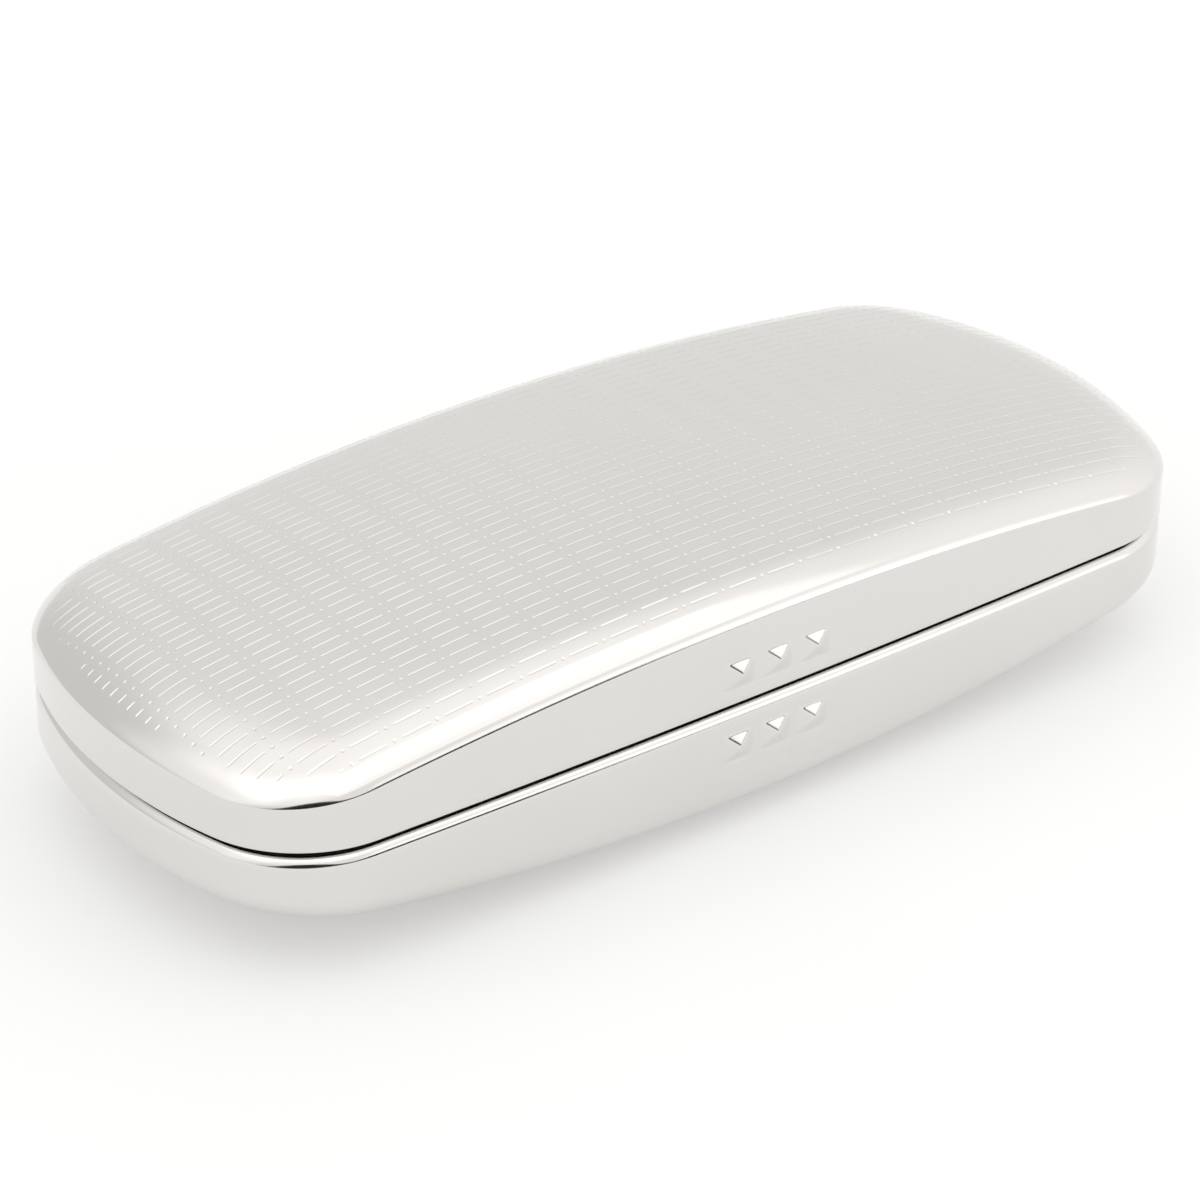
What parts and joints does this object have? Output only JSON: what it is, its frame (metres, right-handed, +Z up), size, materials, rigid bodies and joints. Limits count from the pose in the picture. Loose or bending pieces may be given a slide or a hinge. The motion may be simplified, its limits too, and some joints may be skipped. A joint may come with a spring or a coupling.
{
  "type": "eyeglasses case",
  "caption": "Hard clamshell spectacle case: polished aluminium shells with an engraved lid, black rim frames, flocked trays and a snap hinge along the back.",
  "frame": {"origin": "on the resting plane, under the middle of the case's box", "axes": "+X along the case, -Y to the front where the studs are and the lid lifts, +Z up"},
  "size_m": [0.16, 0.0706, 0.0373],
  "materials": {
    "polished_aluminium": "polished, clear anodised",
    "black_moulding": "fine satin moulding",
    "foam": "open foam sheet",
    "grey_flock": "short flock",
    "plated_steel": "nickel plated",
    "spring_steel": "tempered",
    "grey_rubber": "matt"
  },
  "bodies": {
    "base": {"base_shell": "polished_aluminium", "base_frame": "black_moulding", "base_foam": "foam", "base_liner": "grey_flock", "base_leaf": "plated_steel", "base_leaf_screw_1": "plated_steel", "base_leaf_screw_2": "plated_steel", "base_leaf_screw_3": "plated_steel", "front_stop": "grey_rubber", "hinge_pin": "plated_steel", "snap_spring_1": "spring_steel", "snap_spring_2": "spring_steel"},
    "lid": {"lid_shell": "polished_aluminium", "lid_frame": "black_moulding", "lid_foam": "foam", "lid_liner": "grey_flock", "lid_leaf": "plated_steel", "lid_leaf_screw_1": "plated_steel", "lid_leaf_screw_2": "plated_steel", "lid_leaf_screw_3": "plated_steel"}
  },
  "joints": [
    {"name": "lid_hinge", "type": "hinge", "parent": "base", "child": "lid", "pos_m": [0, 0.03355, 0.0196], "axis": [-1, 0, 0], "range_deg": [0, 105], "deforming": ["snap_spring_1", "snap_spring_2"]}
  ]
}
